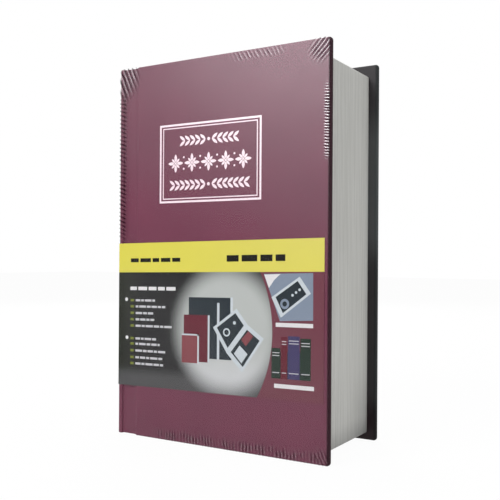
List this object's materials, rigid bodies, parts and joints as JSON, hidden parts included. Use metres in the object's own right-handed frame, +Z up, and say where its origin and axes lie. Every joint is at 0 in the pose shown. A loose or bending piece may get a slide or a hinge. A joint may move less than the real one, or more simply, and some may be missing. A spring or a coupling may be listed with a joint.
{
  "type": "book diversion safe",
  "caption": "Steel safe hidden in a hardback book case: hinged cover, page-block ring, steel box and lid with number dials, turn knob and latch.",
  "frame": {"origin": "middle of the standing book's footprint, on the surface that it stands on", "axes": "+Z up along the spine, -Y out of the front cover, +X towards the fore-edge"},
  "size_m": [0.115, 0.055, 0.18],
  "materials": {
    "leatherette": "fine grained maroon leatherette, lightly glossy under its film",
    "greyboard": "raw grey board",
    "endpaper": "matt off-white paper",
    "label_print": "printed gloss paper, yellow band over a dark panel",
    "page_block": "matt light grey moulding with page lines",
    "painted_steel": "dark grey powder coat, fine texture",
    "bright_steel": "bright turned steel",
    "zinc_plate": "zinc plated, slightly dull",
    "satin_zinc": "satin cast zinc",
    "dial_plastic": "black moulded plastic",
    "knob_plastic": "black moulded plastic"
  },
  "bodies": {
    "case_and_box": {"back_board": "greyboard", "back_cover_wrap": "leatherette", "back_endpaper": "endpaper", "back_joint_cloth": "leatherette", "spine_board": "greyboard", "spine_wrap": "leatherette", "spine_lining": "endpaper", "page_frame": "page_block", "steel_box": "painted_steel", "hinge_pin": "bright_steel", "latch_keeper": "zinc_plate", "frame_screw_tail_1": "zinc_plate", "frame_screw_tail_2": "zinc_plate", "frame_screw_head_1": "zinc_plate", "frame_screw_head_2": "zinc_plate", "keeper_rivet_1": "bright_steel", "keeper_rivet_2": "bright_steel", "front_joint_cloth_spine_side": "leatherette"},
    "lid": {"steel_lid": "painted_steel", "lock_plate": "satin_zinc", "plate_screw_1": "bright_steel", "plate_screw_2": "bright_steel", "lock_housing": "zinc_plate", "housing_back_plate": "zinc_plate", "back_plate_screw_1": "bright_steel", "back_plate_screw_2": "bright_steel", "back_plate_screw_3": "bright_steel", "back_plate_screw_4": "bright_steel", "dial_axle": "bright_steel", "detent_spring": "bright_steel", "fence_bar": "bright_steel", "front_joint_cloth_cover_side": "leatherette"},
    "front_cover": {"front_board": "greyboard", "front_cover_wrap": "leatherette", "front_endpaper": "endpaper", "front_label": "label_print"},
    "dial_1": {"number_dial_1": "dial_plastic"},
    "dial_2": {"number_dial_2": "dial_plastic"},
    "dial_3": {"number_dial_3": "dial_plastic"},
    "knob": {"turn_knob": "knob_plastic", "knob_spindle": "bright_steel", "latch_cam": "zinc_plate", "cam_washer": "zinc_plate", "cam_nut": "zinc_plate"},
    "reset_slider": {"reset_lever": "zinc_plate"}
  },
  "joints": [
    {"name": "lid_hinge", "type": "hinge", "parent": "case_and_box", "child": "lid", "pos_m": [-0.05355, -0.0246, 0.09], "axis": [0, 0, -1], "range_deg": [0, 75], "deforming": ["front_joint_cloth_spine_side"]},
    {"name": "cover_hinge", "type": "hinge", "parent": "lid", "child": "front_cover", "pos_m": [-0.05355, -0.0246, 0.09], "axis": [0, 0, -1], "range_deg": [0, 115], "deforming": ["front_joint_cloth_cover_side"]},
    {"name": "dial_1_turn", "type": "hinge", "parent": "lid", "child": "dial_1", "pos_m": [0.008, -0.0134, 0.1], "axis": [0, 0, 1], "continuous": true},
    {"name": "dial_2_turn", "type": "hinge", "parent": "lid", "child": "dial_2", "pos_m": [0.008, -0.0134, 0.108], "axis": [0, 0, 1], "continuous": true},
    {"name": "dial_3_turn", "type": "hinge", "parent": "lid", "child": "dial_3", "pos_m": [0.008, -0.0134, 0.116], "axis": [0, 0, 1], "continuous": true},
    {"name": "knob_turn", "type": "hinge", "parent": "lid", "child": "knob", "pos_m": [0.008, -0.0172, 0.062], "axis": [0, -1, 0], "range_deg": [0, 90]},
    {"name": "reset_slide", "type": "slide", "parent": "lid", "child": "reset_slider", "axis": [0, 0, 1], "range_m": [0, 0.003]}
  ]
}
